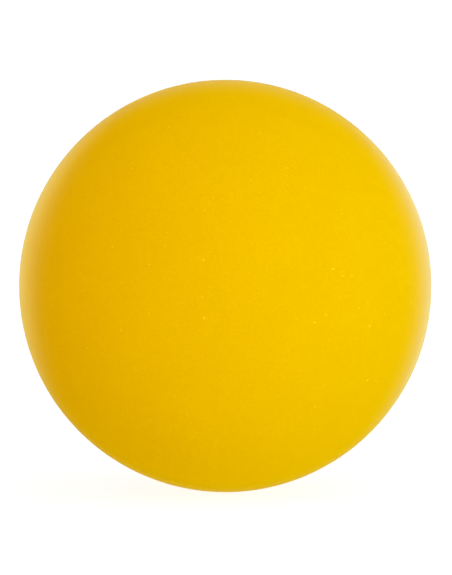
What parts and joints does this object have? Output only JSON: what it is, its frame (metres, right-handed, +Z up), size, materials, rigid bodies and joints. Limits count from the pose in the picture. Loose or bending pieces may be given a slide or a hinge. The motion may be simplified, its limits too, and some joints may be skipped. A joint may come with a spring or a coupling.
{
  "type": "dodgeball",
  "caption": "Soft coated foam ball with a smooth satin skin and no valve or seam, thrown and caught in dodgeball and school play.",
  "frame": {"origin": "centre of the ball", "axes": "+Z up; the ball is the same about every axis, so +X to the right and +Y away from the viewer are set by the picture's view"},
  "size_m": [0.178, 0.178, 0.178],
  "materials": {
    "foam": "moulded open-cell polyurethane foam, matt",
    "base_elastomer": "sprayed polyurethane elastomer, unpigmented",
    "yellow_skin": "sprayed polyurethane elastomer, pigmented, satin"
  },
  "bodies": {
    "root": {"foam_core": "foam", "base_coat": "base_elastomer", "colour_coat": "yellow_skin"}
  },
  "joints": []
}
